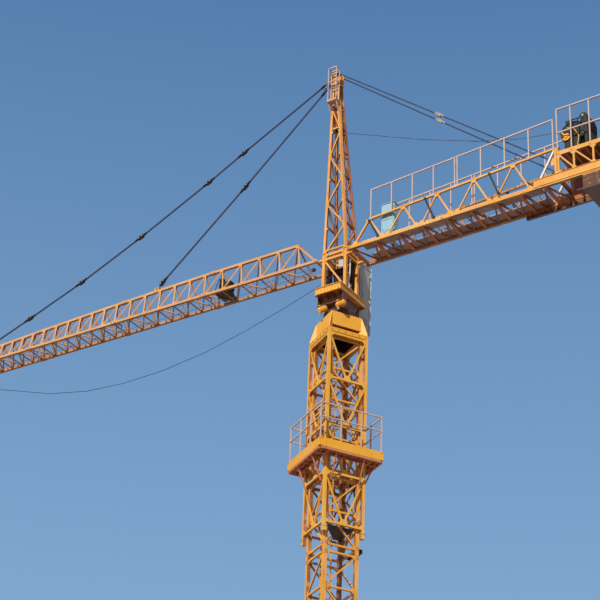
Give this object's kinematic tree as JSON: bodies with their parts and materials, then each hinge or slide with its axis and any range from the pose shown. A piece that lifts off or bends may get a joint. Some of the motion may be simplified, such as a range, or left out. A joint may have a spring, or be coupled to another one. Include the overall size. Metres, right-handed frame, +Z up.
{
  "type": "tower crane",
  "caption": "Slewing tower crane with a lattice mast, climbing frame, tied jib, counterjib and cab",
  "frame": {"origin": "centre of the base cross's underside, on the ground, on the slewing axis", "axes": "+Z up along the mast and the slewing axis, +X along the jib at rest, +Y to the side away from the cab"},
  "size_m": [35.8884, 4.534, 31],
  "materials": {
    "base_cross": "weathered satin paint",
    "base_struts": "weathered satin paint",
    "mast_side_1": "weathered satin paint",
    "mast_side_2": "weathered satin paint",
    "mast_side_3": "weathered satin paint",
    "mast_side_4": "weathered satin paint",
    "mast_ladder": "weathered satin paint",
    "rest_platforms": "weathered satin paint",
    "climbing_side_1": "weathered satin paint",
    "climbing_side_2": "weathered satin paint",
    "climbing_side_3": "weathered satin paint",
    "climbing_side_4": "weathered satin paint",
    "jacking_gear": "weathered satin paint",
    "platform_frame": "weathered satin paint",
    "platform_deck": "weathered satin paint",
    "toe_boards": "weathered satin paint",
    "platform_railing": "weathered satin paint",
    "mast_support": "weathered satin paint",
    "slewing_ring_lower": "dull steel",
    "slewing_ring_upper": "dull steel",
    "turntable": "weathered satin paint",
    "slewing_motors": "weathered satin paint",
    "slewing_tower": "weathered satin paint",
    "head_side_near": "weathered satin paint",
    "head_side_far": "weathered satin paint",
    "head_side_front": "weathered satin paint",
    "head_side_back": "weathered satin paint",
    "head_cap": "weathered satin paint",
    "head_sheave": "dark greased iron",
    "head_platform": "weathered satin paint",
    "cab_body": "weathered satin paint",
    "cab_glass": "tinted flat glass",
    "cab_bracket": "weathered satin paint",
    "jib_section_1": "weathered satin paint",
    "jib_section_2": "weathered satin paint",
    "jib_section_3": "weathered satin paint",
    "jib_section_4": "weathered satin paint",
    "jib_section_5": "weathered satin paint",
    "jib_stay_outer": "weathered satin paint",
    "jib_stay_inner": "weathered satin paint",
    "trolley_winch": "weathered satin paint",
    "trolley": "weathered satin paint",
    "hook_block": "weathered satin paint",
    "hoist_rope": "dull steel",
    "counterjib_frame": "weathered satin paint",
    "counterjib_side_near": "weathered satin paint",
    "counterjib_side_far": "weathered satin paint",
    "counterjib_deck": "weathered satin paint",
    "counterjib_railing": "weathered satin paint",
    "winch_platform": "weathered satin paint",
    "hoist_winch": "weathered satin paint",
    "electric_cabinet": "weathered satin paint",
    "counterweights": "cast concrete",
    "counterjib_ties": "weathered satin paint"
  },
  "bodies": {
    "mast": {"base_cross": "base_cross", "base_struts": "base_struts", "mast_side_1": "mast_side_1", "mast_side_2": "mast_side_2", "mast_side_3": "mast_side_3", "mast_side_4": "mast_side_4", "mast_ladder": "mast_ladder", "rest_platforms": "rest_platforms", "climbing_side_1": "climbing_side_1", "climbing_side_2": "climbing_side_2", "climbing_side_3": "climbing_side_3", "climbing_side_4": "climbing_side_4", "jacking_gear": "jacking_gear", "platform_frame": "platform_frame", "platform_deck": "platform_deck", "toe_boards": "toe_boards", "platform_railing": "platform_railing", "mast_support": "mast_support", "slewing_ring_lower": "slewing_ring_lower"},
    "crane_top": {"slewing_ring_upper": "slewing_ring_upper", "turntable": "turntable", "slewing_motors": "slewing_motors", "slewing_tower": "slewing_tower", "head_side_near": "head_side_near", "head_side_far": "head_side_far", "head_side_front": "head_side_front", "head_side_back": "head_side_back", "head_cap": "head_cap", "head_sheave": "head_sheave", "head_platform": "head_platform", "cab_body": "cab_body", "cab_glass": "cab_glass", "cab_bracket": "cab_bracket", "jib_section_1": "jib_section_1", "jib_section_2": "jib_section_2", "jib_section_3": "jib_section_3", "jib_section_4": "jib_section_4", "jib_section_5": "jib_section_5", "jib_stay_outer": "jib_stay_outer", "jib_stay_inner": "jib_stay_inner", "trolley_winch": "trolley_winch", "trolley": "trolley", "hook_block": "hook_block", "hoist_rope": "hoist_rope", "counterjib_frame": "counterjib_frame", "counterjib_side_near": "counterjib_side_near", "counterjib_side_far": "counterjib_side_far", "counterjib_deck": "counterjib_deck", "counterjib_railing": "counterjib_railing", "winch_platform": "winch_platform", "hoist_winch": "hoist_winch", "electric_cabinet": "electric_cabinet", "counterweights": "counterweights", "counterjib_ties": "counterjib_ties"}
  },
  "joints": [
    {"name": "slewing", "type": "hinge", "parent": "mast", "child": "crane_top", "pos_m": [0, 0, 19.14], "axis": [0, 0, 1], "continuous": true}
  ]
}
